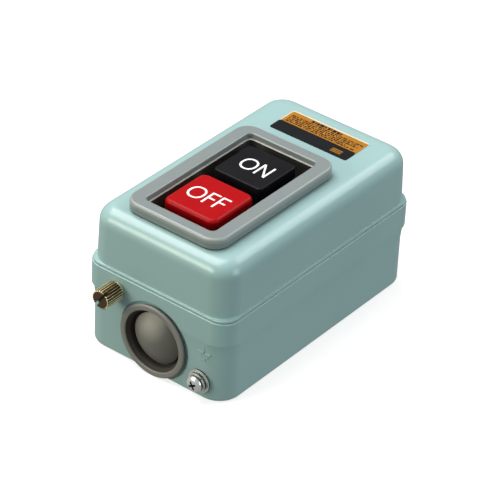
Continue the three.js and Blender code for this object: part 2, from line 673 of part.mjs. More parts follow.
add('cover_shell', coverShell(), PAINT);
add('bezel_frame', bezelFrame(), BEZEL_GREY);
const plateShape = span(PLATE.x, PLATE.front, PLATE.rear, PLATE.radius);
add('rating_plate', slab(plateShape, ...PLATE.z), GOLD);

add('thumb_screw', thumbScrew(), BRASS);
add('thumb_screw_clip', washerY(THUMB_X, THUMB_Z, ...CLIP_Y, 3.4, THUMB_SHANK_RADIUS + FIT), STEEL);
add('clamp_nut', clampNut(), STEEL);

function earthWasher(y, { radius, thickness }, segments) {
  return washerY(EARTH_X, EARTH_Z, y - thickness, y, radius, WASHER_BORE, segments);
}

add('earth_washer', earthWasher(EARTH_WASHER_Y, EARTH_WASHER, ROUND), ZINC);
add('earth_lock_washer', earthWasher(EARTH_LOCK_Y, LOCK_WASHER, SMALL), ZINC);
const earthScrew = panScrew(EARTH_SCREW).rotateX(Math.PI / 2);
add('earth_screw', earthScrew.translate(EARTH_X, EARTH_HEAD_Y, EARTH_Z), ZINC);

add('on_button', button(ON_CAP, CARRIAGE_PLATE_Z[1] + GAP), DARK);
add('off_button', button(OFF_CAP, LATCH_Z + 3.5), RED);
for (const [name, y] of [['on', ON_CENTRE_Y], ['off', OFF_CENTRE_Y]]) {
  const spring = coil(0, y, HOUSING_TOP_Z + FIT, BUTTON_SPRING_TOP_Z, BUTTON_SPRING);
  add(`${name}_return_spring`, spring, STEEL);
}

add('switch_base', switchBase(), PHENOLIC);
add('switch_housing', switchHousing(), PHENOLIC);
SWITCH_SCREWS.forEach(([x, y], i) => {
  const screw = panScrew(SWITCH_SCREW).translate(x, y, SWITCH_SCREW_SEAT_Z + FIT);
  add(`switch_screw_${i + 1}`, screw, ZINC);
});

POLE_Y.forEach((y, i) => {
  const pole = i + 1;
  for (const [name, side] of [['line', -1], ['load', 1]]) {
    const screw = panScrew(TERMINAL_SCREW).translate(side * TERMINAL_X, y, CLAMP_Z[1] + FIT);
    add(`${name}_terminal_${pole}`, terminal(side, y), COPPER);
    add(`${name}_clamp_${pole}`, clampPlate(side * TERMINAL_X, y), ZINC);
    add(`${name}_screw_${pole}`, screw, ZINC);
  }
  add(`moving_contact_${pole}`, movingContact(y), COPPER);
  const spring = coil(0, y, BRIDGE_Z + BRIDGE_THICKNESS + FIT, CARRIAGE_PLATE_Z[0] - 0.5, CONTACT_SPRING);
  add(`contact_spring_${pole}`, spring, STEEL);
});

add('contact_carriage', contactCarriage(), PHENOLIC);
['front', 'rear'].forEach((name, i) => {
  const y = POLE_Y[i] + POLE_PITCH / 2;
  const spring = coil(0, y, DECK_Z + FIT, CARRIAGE_PLATE_Z[0] - FIT, CARRIAGE_SPRING);
  add(`carriage_spring_${name}`, spring, STEEL);
});

add('latch_lever', latchLever(), STEEL);
add('latch_pin', rodX(LATCH_Y, LATCH_Z, -6.8, 6.8, LATCH_PIN_RADIUS), STEEL);
const latchSpring = coil(0, 0, LATCH_HALF_X + GAP, LATCH_LUG_X - 0.2, LATCH_SPRING);
add('latch_spring', latchSpring.rotateY(Math.PI / 2).translate(0, LATCH_Y, LATCH_Z), STEEL);

export default starter;
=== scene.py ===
"""Looks of the push-button motor starter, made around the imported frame.

Lengths are in millimetres until mesh_object makes a mesh of them.
"""
import json
import math

import bmesh
import bpy
from mathutils import Matrix, Vector


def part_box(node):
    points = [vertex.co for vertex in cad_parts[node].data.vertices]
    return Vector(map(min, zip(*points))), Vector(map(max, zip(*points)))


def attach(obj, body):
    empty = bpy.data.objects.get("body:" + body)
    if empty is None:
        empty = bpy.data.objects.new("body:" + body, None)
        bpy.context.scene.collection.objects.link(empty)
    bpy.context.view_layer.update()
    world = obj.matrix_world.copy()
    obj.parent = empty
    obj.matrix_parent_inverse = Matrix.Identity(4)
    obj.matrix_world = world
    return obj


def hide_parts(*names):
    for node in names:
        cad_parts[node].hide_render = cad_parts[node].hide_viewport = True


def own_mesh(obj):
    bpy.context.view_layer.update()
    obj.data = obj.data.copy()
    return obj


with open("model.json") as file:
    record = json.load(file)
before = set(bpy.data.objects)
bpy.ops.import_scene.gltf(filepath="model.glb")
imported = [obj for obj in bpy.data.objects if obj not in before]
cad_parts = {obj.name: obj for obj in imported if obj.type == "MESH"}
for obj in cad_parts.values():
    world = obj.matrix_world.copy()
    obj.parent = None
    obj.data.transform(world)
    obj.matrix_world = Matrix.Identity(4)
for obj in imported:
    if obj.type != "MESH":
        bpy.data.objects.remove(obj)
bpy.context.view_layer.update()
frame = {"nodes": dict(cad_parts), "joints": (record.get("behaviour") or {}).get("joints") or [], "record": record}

MM = 0.001


def low_high(node):
    """Both corners of a CAD node's box, in millimetres."""
    low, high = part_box(node)
    return [c / MM for c in low], [c / MM for c in high]


# ---------------------------------------------------------------- read from the frame
CASE_LOW, CASE_HIGH = low_high("base_housing")
HALF_X = CASE_HIGH[0]
HALF_Y = -CASE_LOW[1]
BEZEL_LOW, BEZEL_HIGH = low_high("bezel_frame")
BEZEL_X = BEZEL_HIGH[0]
BEZEL_Y = (BEZEL_LOW[1], BEZEL_HIGH[1])
BEZEL_TOP = BEZEL_HIGH[2]
SKIRT_BOTTOM = BEZEL_LOW[2]
PLATE_LOW, PLATE_HIGH = low_high("rating_plate")
COVER_TOP = PLATE_LOW[2] - 0.05
THUMB_LOW, THUMB_HIGH = low_high("thumb_screw")
THUMB_CENTRE = [(THUMB_LOW[i] + THUMB_HIGH[i]) / 2 for i in (0, 2)]
THUMB_RADIUS = (THUMB_HIGH[0] - THUMB_LOW[0]) / 2
EARTH_LOW, EARTH_HIGH = low_high("earth_screw")
EARTH_CENTRE = [(EARTH_LOW[i] + EARTH_HIGH[i]) / 2 for i in (0, 2)]
JOINTS = {joint["name"]: joint for joint in frame["joints"]}
HINGE = [c / MM for c in JOINTS["cover_hinge"]["pos_m"]]
SLOT_OF = {entry["node"]: entry["material_slot"] for entry in frame["record"]["subparts"]}

# ---------------------------------------------------------------- sizes of the lower half
PARTING = 40.85
BODY_INSET = 0.45
BODY_RADIUS = 10.6
RIM_RADIUS = 8.5
RIM_LOW = 28.9
FLARE = 8
CASE_WALL = 2.8
CASE_FLOOR = 2.4
END_FACE = HALF_Y - BODY_INSET
INNER_FACE = HALF_Y - CASE_WALL
PADS = [(0, -55.5), (-25, 45), (25, 45)]
PAD_RADIUS, PAD_HEIGHT, PAD_HOLE = 5.5, 1.6, 2.6
POSTS = [(x, y) for x in (-26.5, 26.5) for y in (-45, 13.2)]
POST_RADIUS, POST_TOP, POST_HOLE = 3.6, 5.9, 1.5

# ---------------------------------------------------------------- sizes of the cover, bezel and hinge
COVER_BOTTOM = 41
COVER_INSET = 1.3
COVER_DRAFT = 0.35
COVER_RADIUS = 10
COVER_FILLET = 7
COVER_WALL = 2.3
COVER_HOLE_X = 20.45
COVER_HOLE_Y = (-53, 21.3)
BEZEL_HOLE_X = 18.35
BEZEL_HOLE_Y = (-50.9, 19.2)
KNUCKLE = 2.7
CASE_KNUCKLES = [(9, 13), (19.6, 23.6)]
COVER_KNUCKLES = [(13.3, 19.3)]
HINGE_BORE = 1.55
HINGE_BORE_X = (8, 25)

# ---------------------------------------------------------------- place, radii and seat depth of the grommets
GROMMET_X = 0.6
GROMMET_Z = 17.3
GROMMET_DISC = 12.1
GROMMET_HOLE = 14.3
GROMMET_INNER = 14.5
GROMMET_RING = 17.3
GROMMET_SEAT = 18.3
GROMMET_SEAT_DEPTH = 0.55

# ---------------------------------------------------------------- shared settings
ARC_STEPS = 10
CRISP_DEGREES = 32
CAP_DRAFT, CAP_CROWN = 0.1, 0.05
LETTER_STROKE = 0.94


# ---------------------------------------------------------------- mesh helpers
def outline(half_x, y0, y1, radius, z):
    """One ring of points round a rounded rectangle, anticlockwise seen from above."""
    ring = []
    corners = [(half_x - radius, y1 - radius), (radius - half_x, y1 - radius),
               (radius - half_x, y0 + radius), (half_x - radius, y0 + radius)]
    for corner, (x, y) in enumerate(corners):
        for i in range(ARC_STEPS + 1):
            angle = (corner + i / ARC_STEPS) * math.pi / 2
            ring.append((x + radius * math.cos(angle), y + radius * math.sin(angle), z))
    return ring


def inset_ring(half_x, y0, y1, radius, inset, z):
    """The rounded rectangle moved in by inset."""
    return outline(half_x - inset, y0 + inset, y1 - inset, radius, z)


def quarter(steps):
    """Angles of a quarter circle in equal steps."""
    return [i * math.pi / 2 / steps for i in range(steps + 1)]


def loft(rings, closed=False):
    """Skin over rings of equal length, with flat ends or, when closed, back to the first ring."""
    count = len(rings[0])
    verts = [point for ring in rings for point in ring]
    pairs = len(rings) if closed else len(rings) - 1
    faces = []
    for i in range(pairs):
        a = i * count
        b = (i + 1) % len(rings) * count
        faces += [(a + j, a + (j + 1) % count, b + (j + 1) % count, b + j) for j in range(count)]
    if not closed:
        faces.append(tuple(reversed(range(count))))
        faces.append(tuple(range((len(rings) - 1) * count, len(rings) * count)))
    return verts, faces


def turned(profile, segments, closed=False):
    """A turned skin about +Z from (radius, height) pairs. An open profile starts and ends on the axis."""
    verts, faces, rows = [], [], []
    for radius, height in profile:
        if radius == 0:
            rows.append([len(verts)] * segments)
            verts.append((0, 0, height))
        else:
            rows.append(range(len(verts), len(verts) + segments))
            verts += [(radius * math.cos(a), radius * math.sin(a), height)
                      for a in (i * 2 * math.pi / segments for i in range(segments))]
    spans = list(zip(rows, rows[1:])) + ([(rows[-1], rows[0])] if closed else [])
    for low, high in spans:
        for j in range(segments):
            k = (j + 1) % segments
            face = [low[j], low[k], high[k], high[j]]
            face = [v for i, v in enumerate(face) if v != face[i - 1]]
            if len(face) > 2:
                faces.append(tuple(face))
    return verts, faces


def block(low, high):
    """A box between two corners."""
    (x0, y0, z0), (x1, y1, z1) = low, high
    ring = [(x1, y1), (x0, y1), (x0, y0), (x1, y0)]
    return loft([[(x, y, z0) for x, y in ring], [(x, y, z1) for x, y in ring]])


def rod(start, end, radius, segments=48):
    """A cylinder between two points."""
    start, end = Vector(start), Vector(end)
    length = (end - start).length
    verts, faces = turned([(0, 0), (radius, 0), (radius, length), (0, length)], segments)
    turn = (end - start).to_track_quat("Z", "Y").to_matrix()
    return [tuple(turn @ Vector(v) + start) for v in verts], faces


def moved(shape, offset=(0, 0, 0), turn=None):
    """A shape turned about the origin and then moved."""
    verts, faces = shape
    turn = turn or Matrix.Identity(3)
    return [tuple(turn @ Vector(v) + Vector(offset)) for v in verts], faces


def together(*shapes):
    """Several shapes as one."""
    verts, faces = [], []
    for more_verts, more_faces in shapes:
        base = len(verts)
        verts += more_verts
        faces += [tuple(base + i for i in face) for face in more_faces]
    return verts, faces


def mesh_object(name, shape):
    """A Blender object in metres from a shape in millimetres."""
    verts, faces = shape
    mesh = bpy.data.meshes.new(name)
    mesh.from_pydata([tuple(c * MM for c in v) for v in verts], [], faces)
    mesh.validate()
    obj = bpy.data.objects.new(name, mesh)
    bpy.context.scene.collection.objects.link(obj)
    return obj


def combine(obj, shape, operation):
    """Joins a shape to obj, or cuts it away, and keeps the resulting mesh."""
    tool = mesh_object(obj.name + "_tool", shape)
    step = obj.modifiers.new("combine", "BOOLEAN")
    step.object = tool
    step.operation = operation
    step.solver = "EXACT"
    step.use_self = True
    result = bpy.data.meshes.new_from_object(obj.evaluated_get(bpy.context.evaluated_depsgraph_get()))
    obj.modifiers.clear()
    obj.data = result
    bpy.data.objects.remove(tool)


def soften(obj):
    """Smooth faces with sharp edges left crisp, and big faces leading the normals."""
    shape = bmesh.new()
    shape.from_mesh(obj.data)
    bmesh.ops.remove_doubles(shape, verts=shape.verts, dist=0.002 * MM)
    bmesh.ops.dissolve_degenerate(shape, edges=shape.edges, dist=0.001 * MM)
    for face in shape.faces:
        face.smooth = True
    for edge in shape.edges:
        edge.smooth = len(edge.link_faces) == 2 and edge.calc_face_angle(0) < math.radians(CRISP_DEGREES)
    shape.to_mesh(obj.data)
    shape.free()
    weight = obj.modifiers.new("weight", "WEIGHTED_NORMAL")
    weight.keep_sharp = True


def piece(obj, body, material, nodes=()):
    """Finishes a piece: its material and slot, the body it rides on and the CAD nodes it stands for."""
    obj.data.materials.clear()
    obj.data.materials.append(FINISH[material])
    soften(obj)
    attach(obj, body)
    if nodes:
        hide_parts(*nodes)
    return obj


def paint_faces(obj, material, chosen):
    """Gives a second material to the faces whose centre, in metres, is chosen."""
    obj.data.materials.append(FINISH[material])
    for face in obj.data.polygons:
        if chosen(face.center):
            face.material_index = len(obj.data.materials) - 1


# ---------------------------------------------------------------- camera
def make_camera():
    """A long lens above the near right corner, rolled by a few degrees. Lengths are metres."""
    azimuth, elevation, roll = map(math.radians, (36.84, 34.29, 2.93))
    aim = Vector((0, 0, 0.030))
    distance, shift_left, shift_down = 1.1876, 0.00058, 0.00049
    back = Vector((math.sin(azimuth) * math.cos(elevation), -math.cos(azimuth) * math.cos(elevation),
                   math.sin(elevation)))
    level = Vector((math.cos(azimuth), math.sin(azimuth), 0))
    upright = back.cross(level)
    right = level * math.cos(roll) + upright * math.sin(roll)
    up = upright * math.cos(roll) - level * math.sin(roll)
    camera = bpy.data.objects.new("camera", bpy.data.cameras.new("camera"))
    camera.data.lens = 198.67
    camera.data.sensor_width = 36
    camera.data.clip_end = 20
    place = aim + back * distance - right * shift_left - up * shift_down
    camera.matrix_world = Matrix.Translation(place) @ Matrix((right, up, back)).transposed().to_4x4()
    bpy.context.scene.collection.objects.link(camera)
    bpy.context.scene.camera = camera


# ---------------------------------------------------------------- materials
class Finish:
    """A node material around one Principled shader, built up in steps."""

    def __init__(self, name, color, roughness, metallic=0.0, specular=0.5):
        self.material = bpy.data.materials.new(name)
        self.material.use_nodes = True
        self.tree = self.material.node_tree
        self.shader = self.tree.nodes["Principled BSDF"]
        self.set("Base Color", (*color, 1))
        self.set("Roughness", roughness)
        self.set("Metallic", metallic)
        self.set("Specular IOR Level", specular)
        self.place = self.node("ShaderNodeTexCoord").outputs["Object"]
        self.color = color
        self.roughness = roughness
        self.normal = None

    def set(self, socket, value):
        self.shader.inputs[socket].default_value = value

    def node(self, kind, **settings):
        made = self.tree.nodes.new(kind)
        for key, value in settings.items():
            setattr(made, key, value)
        return made

    def link(self, output, target):
        self.tree.links.new(output, target)

    def noise(self, scale, detail, stretch=(1, 1, 1)):
        """Noise from 0 to 1 with features about 1/scale metres across."""
        spread = self.node("ShaderNodeMapping")
        spread.inputs["Scale"].default_value = stretch
        self.link(self.place, spread.inputs["Vector"])
        noise = self.node("ShaderNodeTexNoise")
        noise.inputs["Scale"].default_value = scale
        noise.inputs["Detail"].default_value = detail
        self.link(spread.outputs["Vector"], noise.inputs["Vector"])
        return noise.outputs["Fac"]

    def ramp(self, value, low, high, to_low=0.0, to_high=1.0):
        """Maps value from one range to another, clamped."""
        ramp = self.node("ShaderNodeMapRange")
        limits = {"From Min": low, "From Max": high, "To Min": to_low, "To Max": to_high}
        for socket, number in limits.items():
            ramp.inputs[socket].default_value = number
        self.link(value, ramp.inputs["Value"])
        return ramp.outputs["Result"]

    def along_x(self, start, end):
        """0 to 1 between two places along X, in millimetres."""
        split = self.node("ShaderNodeSeparateXYZ")
        self.link(self.place, split.inputs["Vector"])
        return self.ramp(split.outputs["X"], start * MM, end * MM)

    def away_from(self, x, z, reach):
        """0 to 1 with the distance from a line along Y, in millimetres."""
        flat = self.node("ShaderNodeVectorMath", operation="MULTIPLY")
        flat.inputs[1].default_value = (1, 0, 1)
        self.link(self.place, flat.inputs[0])
        gap = self.node("ShaderNodeVectorMath", operation="DISTANCE")
        gap.inputs[1].default_value = (x * MM, 0, z * MM)
        self.link(flat.outputs[0], gap.inputs[0])
        return self.ramp(gap.outputs["Value"], 0, reach * MM)

    def mix(self, factor, first, second):
        """A colour between first and second, each a colour or a socket."""
        mix = self.node("ShaderNodeMix", data_type="RGBA")
        color_a, color_b, color_out = 6, 7, 2
        self.link(factor, mix.inputs["Factor"])
        for socket, value in ((mix.inputs[color_a], first), (mix.inputs[color_b], second)):
            if isinstance(value, bpy.types.NodeSocket):
                self.link(value, socket)
            else:
                socket.default_value = (*value, 1)
        return mix.outputs[color_out]

    def color_from(self, output):
        """Takes the base colour from a node's output."""
        self.link(output, self.shader.inputs["Base Color"])
        self.color = output
        return self

    def mottle(self, scale, amount):
        """Slow light and dark drift of the colour."""
        darker = tuple(c * (1 - amount) for c in self.color)
        lighter = tuple(min(1, c * (1 + amount)) for c in self.color)
        return self.color_from(self.mix(self.ramp(self.noise(scale, 4), 0.3, 0.7), darker, lighter))

    def uneven(self, scale, amount):
        """Roughness that varies over the surface."""
        low = max(0.03, self.roughness - amount)
        spread = self.ramp(self.noise(scale, 5), 0.3, 0.7, low, self.roughness + amount)
        self.link(spread, self.shader.inputs["Roughness"])
        return self

    def grain(self, scale, height, stretch=(1, 1, 1)):
        """Fine bumps of the given height in millimetres."""
        bump = self.node("ShaderNodeBump")
        bump.inputs["Strength"].default_value = 1
        bump.inputs["Distance"].default_value = height * MM
        self.link(self.noise(scale, 2, stretch), bump.inputs["Height"])
        if self.normal:
            self.link(self.normal, bump.inputs["Normal"])
        self.normal = bump.outputs["Normal"]
        self.link(self.normal, self.shader.inputs["Normal"])
        return self


# Colour, roughness, metallic and specular, then the settings of mottle, uneven and grain.
PLAIN_FINISHES = {
    "bezel_plastic": ((0.180, 0.211, 0.211), 0.34, 0.0, 0.5, (30, 0.03), (160, 0.04), (600, 0.0015)),
    # Painted highlight: a lighter grey for the bezel's rounded outer top edge, standing in for the light the edge
    # catches.
    "bezel_edge_highlight": ((0.255, 0.290, 0.282), 0.34, 0.0, 0.5, (30, 0.03), (160, 0.04), (600, 0.0015)),
    # Painted highlight: a light beige for the ledge's bead, standing in for the light its rounding catches.
    "bezel_bead_highlight": ((0.46, 0.44, 0.40), 0.42, 0.0, 0.5, (30, 0.03), (160, 0.05), (2400, 0.004)),
    # Painted shade: near-black for the well under the ledge and for the bezel's foot, standing in for their
    # shadow.
    "bezel_painted_shade": ((0.042, 0.046, 0.040), 0.6, 0.0, 0.3, (80, 0.15), (200, 0.08), (1600, 0.004)),
    "grommet_rubber": ((0.190, 0.190, 0.172), 0.42, 0.0, 0.5, (60, 0.10), (120, 0.08), (1800, 0.008)),
    "groove_shade": ((0.044, 0.040, 0.036), 0.7, 0.0, 0.2, (60, 0.15), (120, 0.08), (1800, 0.008)),
    "off_plastic": ((0.33, 0.002, 0.004), 0.28, 0.0, 0.11, (40, 0.04), (130, 0.05), (1900, 0.002)),
    "on_plastic": ((0.006, 0.006, 0.008), 0.34, 0.0, 0.12, (40, 0.08), (130, 0.05), (1900, 0.003)),
    "phenolic": ((0.012, 0.011, 0.011), 0.45, 0.0, 0.5, (80, 0.2), (200, 0.1), (900, 0.01)),
    "zinc_steel": ((0.86, 0.90, 0.88), 0.18, 0.7, 0.5, (300, 0.08), (700, 0.1), (1600, 0.003)),
    "zinc_shade": ((0.030, 0.036, 0.026), 0.4, 0.3, 0.5, (300, 0.2), (700, 0.1), (1600, 0.003)),
    "steel": ((0.50, 0.51, 0.53), 0.33, 1.0, 0.5, (200, 0.08), (500, 0.1),
              (1200, 0.004, (6, 6, 1))),
    "screw_brass": ((0.84, 0.73, 0.49), 0.34, 0.8, 0.5, (250, 0.12), (500, 0.1), (1800, 0.004)),
    # Painted shade: dark brass for the knurl's grooves and the slotted end.
    "knurl_painted_shade": ((0.095, 0.062, 0.030), 0.36, 0.6, 0.5, (250, 0.12), (500, 0.1), (1800, 0.004)),
    "contact_copper": ((0.70, 0.36, 0.20), 0.3, 1.0, 0.5, (150, 0.12), (400, 0.1),
                       (1500, 0.003, (1, 12, 12))),
    "plate_foil": ((0.40, 0.165, 0.010), 0.4, 0.2, 0.22, (120, 0.08), (300, 0.08),
                   (1800, 0.002, (1, 14, 1))),
    "plate_margin": ((0.56, 0.55, 0.42), 0.4, 0.0, 0.5, (120, 0.06), (300, 0.08), (1800, 0.002)),
    "plate_print": ((0.005, 0.006, 0.008), 0.5, 0.0, 0.12, (90, 0.15), (300, 0.06), (1500, 0.002)),
    "marking_white": ((0.80, 0.79, 0.78), 0.45, 0.0, 0.5, (300, 0.03), (600, 0.08), (2200, 0.003)),
}


def dome_finish():
    """The grommet dome's rubber with painted light: a painted highlight patch above, and painted shade that
    darkens the sides towards the right.
    """
    membrane = Finish("membrane_painted_light", (0.19, 0.19, 0.17), 0.42)
    # Painted light: a highlight colour for the patch, and side colours going from lit on the left to shaded on the
    # right.
    light, left, right = (0.34, 0.34, 0.295), (0.18, 0.18, 0.162), (0.090, 0.090, 0.080)
    across = membrane.along_x(GROMMET_X - 7, GROMMET_X + 10)
    from_painted_highlight = membrane.away_from(GROMMET_X - 3.6, GROMMET_Z + 8, 10)
    membrane.color_from(membrane.mix(from_painted_highlight, light, membrane.mix(across, left, right)))
    return membrane.uneven(120, 0.08).grain(1800, 0.008)


def make_finishes():
    """Every material of the starter, by slot."""
    paint = Finish("case_paint", (0.270, 0.426, 0.420), 0.36, specular=0.45)
    paint.mottle(24, 0.03).uneven(220, 0.03).grain(330, 0.0022).grain(1500, 0.0010)
    paint.set("Coat Weight", 0.35)
    paint.set("Coat Roughness", 0.1)
    made = {"case_paint": paint, "membrane_painted_light": dome_finish()}
    for slot, (color, roughness, metallic, specular, mottle, uneven, grain) in PLAIN_FINISHES.items():
        finish = Finish(slot, color, roughness, metallic, specular)
        made[slot] = finish.mottle(*mottle).uneven(*uneven).grain(*grain)
    return {slot: finish.material for slot, finish in made.items()}


# ---------------------------------------------------------------- case
def knuckle_shapes(spans, web_z):
    """Hinge barrels on both sides, each with its web to the shell."""
    shapes = []
    for inner, outer in spans:
        for side in (-1, 1):
            x0, x1 = sorted((side * inner, side * outer))
            shapes.append(rod((x0, HINGE[1], HINGE[2]), (x1, HINGE[1], HINGE[2]), KNUCKLE))
            shapes.append(block((x0, HALF_Y - 1.2, web_z[0]), (x1, HINGE[1], web_z[1])))
    return shapes


def hinge_bores():
    """The holes of both hinge pins."""
    return [rod(*((side * x, HINGE[1], HINGE[2]) for x in HINGE_BORE_X), HINGE_BORE, 32) for side in (-1, 1)]


def case_base():
    """The lower half: back, walls and the wider rim band, with its bosses and holes."""
    def ring(z, inset, radius):
        return inset_ring(HALF_X, -HALF_Y, HALF_Y, radius, inset, z)

    edge, lip, floor_fillet, flare_steps = 1.8, 0.5, 0.6, 4
    inner_radius = RIM_RADIUS - 2.6
    rings = []
    for a in quarter(5):
        shift = edge * (1 - math.sin(a))
        rings.append(ring(edge - edge * math.cos(a), BODY_INSET + shift, BODY_RADIUS - shift))
    rings.append(ring(edge + 0.5, BODY_INSET, BODY_RADIUS))
    for i in range(flare_steps + 1):
        share = i / flare_steps
        rings.append(ring(RIM_LOW - FLARE * (1 - share), BODY_INSET * (1 - 0.9 * share ** 2),
                          BODY_RADIUS - 0.2 * share))
    rings.append(ring(RIM_LOW + 0.25, 0.02, RIM_RADIUS + 0.3))
    rings.append(ring(RIM_LOW + 0.5, 0, RIM_RADIUS))
    rings.append(ring(RIM_LOW + 1.3, 0, RIM_RADIUS))
    for a in quarter(4):
        rings.append(ring(PARTING - lip + lip * math.sin(a), lip * (1 - math.cos(a)),
                          RIM_RADIUS - 0.3 * math.sin(a)))
    rings.append(ring(PARTING, CASE_WALL - 0.4, inner_radius + 0.3))
    rings.append(ring(PARTING - 0.4, CASE_WALL, inner_radius))
    rings.append(ring(CASE_FLOOR + floor_fillet, CASE_WALL, inner_radius))
    for a in quarter(3)[1:]:
        shift = floor_fillet * (1 - math.cos(a))
        rings.append(ring(CASE_FLOOR + floor_fillet * (1 - math.sin(a)), CASE_WALL + shift,
                          inner_radius - shift))
    base = mesh_object("case_base", loft(rings))

    thumb_x, thumb_z = THUMB_CENTRE
    earth_x, earth_z = EARTH_CENTRE
    root = CASE_FLOOR - 0.4
    pads = [rod((x, y, root), (x, y, CASE_FLOOR + PAD_HEIGHT), PAD_RADIUS) for x, y in PADS]
    posts = [rod((x, y, root), (x, y, POST_TOP), POST_RADIUS) for x, y in POSTS]
    earth_boss = rod((earth_x, -INNER_FACE - 1, earth_z), (earth_x, -INNER_FACE + 6, earth_z), 4.2)
    nut_shelf = block((thumb_x - 5.2, -INNER_FACE - 1, thumb_z - 6.6),
                      (thumb_x + 5.2, -INNER_FACE + 10.4, thumb_z - 4.4))
    knuckles = knuckle_shapes(CASE_KNUCKLES, (HINGE[2] - KNUCKLE, PARTING))
    combine(base, together(*pads, *posts, earth_boss, nut_shelf, *knuckles), "UNION")

    holes = [rod((x, y, -1), (x, y, 8), PAD_HOLE, 32) for x, y in PADS]
    holes += [rod((x, y, 1.6), (x, y, 8), POST_HOLE, 24) for x, y in POSTS]
    holes.append(rod((thumb_x, -HALF_Y - 3, thumb_z), (thumb_x, -INNER_FACE + 0.5, thumb_z), 2.4, 32))
    holes.append(rod((earth_x, -END_FACE - 3, earth_z), (earth_x, -INNER_FACE + 7, earth_z), 2.3, 32))
    holes += hinge_bores()
    for side in (-1, 1):
        depths = (INNER_FACE - 1, END_FACE - GROMMET_SEAT_DEPTH, END_FACE + 3)
        inside, seat, outside = [(GROMMET_X, side * y, GROMMET_Z) for y in depths]
        holes.append(rod(inside, seat, GROMMET_HOLE, 96))
        holes.append(rod(seat, outside, GROMMET_SEAT, 96))
    combine(base, together(*holes), "DIFFERENCE")
    piece(base, "case", "case_paint", ["base_housing"])


def case_cover():
    """The upper half: flared lower flange, drafted walls, a generous top fillet, the bezel's opening and the
    slotted tongue behind the thumb screw."""
    low = COVER_BOTTOM
    wall_top = COVER_TOP - COVER_FILLET
    wall_inset = COVER_INSET + COVER_DRAFT
    tighter = 0.78

    def ring(z, inset, radius):
        return inset_ring(HALF_X, -HALF_Y, HALF_Y, radius, inset, z)

    def opening(z, spread=0):
        y0, y1 = COVER_HOLE_Y
        return outline(COVER_HOLE_X + spread, y0 - spread, y1 + spread, 4, z)

    # Height, inset and corner radius of each ring of the flange.
    flange = [(0.0, 0.8, 7.8), (0.05, 0.55, 8.0), (0.15, 0.46, 8.1), (0.75, 0.46, 8.1), (0.95, 0.5, 8.1),
              (1.08, 0.62, 8.2), (1.12, 0.8, 8.4), (1.14, 1.1, 8.8), (1.25, 1.22, 9.2), (1.5, 1.27, 9.6),
              (3.0, COVER_INSET, 9.9), (6.2, COVER_INSET, COVER_RADIUS)]
    rings = [ring(low + up, inset, radius) for up, inset, radius in flange]
    rings.append(ring(wall_top - 0.8, wall_inset - 0.02, COVER_RADIUS))
    for a in quarter(9):
        shift = COVER_FILLET * (1 - math.cos(a))
        rings.append(ring(wall_top + COVER_FILLET * math.sin(a), wall_inset + shift,
                          COVER_RADIUS - tighter * shift))
    rings.append(ring(COVER_TOP, wall_inset + COVER_FILLET + 0.8, COVER_RADIUS - tighter * COVER_FILLET))
    rings += [opening(COVER_TOP, 0.3), opening(COVER_TOP - 0.3), opening(COVER_TOP - COVER_WALL)]
    inner_fillet = COVER_FILLET - 2
    inner_radius = COVER_RADIUS - COVER_WALL
    for a in reversed(quarter(5)):
        shift = inner_fillet * (1 - math.cos(a))
        rings.append(ring(COVER_TOP - COVER_WALL - inner_fillet + inner_fillet * math.sin(a),
                          wall_inset + COVER_WALL + shift, inner_radius - shift * 0.7))
    rings.append(ring(low + 0.3, COVER_INSET + COVER_WALL - 0.3, inner_radius))
    rings.append(ring(low, COVER_INSET + COVER_WALL - 0.6, inner_radius))
    cover = mesh_object("case_cover", loft(rings, closed=True))

    thumb_x, thumb_z = THUMB_CENTRE
    front, rear = -INNER_FACE + 1.8, -INNER_FACE + 3.6
    half, slot_half, past = 8, 2.6, 0.5
    arm = block((thumb_x - half, -HALF_Y + COVER_INSET + COVER_WALL - 1, low + 3),
                (thumb_x + half, rear, low + 9))
    tongue = block((thumb_x - half, front, thumb_z - 3.6), (thumb_x + half, rear, low + 8))
    knuckles = knuckle_shapes(COVER_KNUCKLES, (low, HINGE[2] + KNUCKLE))
    combine(cover, together(arm, tongue, *knuckles), "UNION")
    slot_end = rod((thumb_x, front - past, thumb_z), (thumb_x, rear + past, thumb_z), slot_half, 32)
    slot = block((thumb_x - slot_half, front - past, thumb_z - 8),
                 (thumb_x + slot_half, rear + past, thumb_z))
    combine(cover, together(slot_end, slot, *hinge_bores()), "DIFFERENCE")
    piece(cover, "cover", "case_paint", ["cover_shell"])


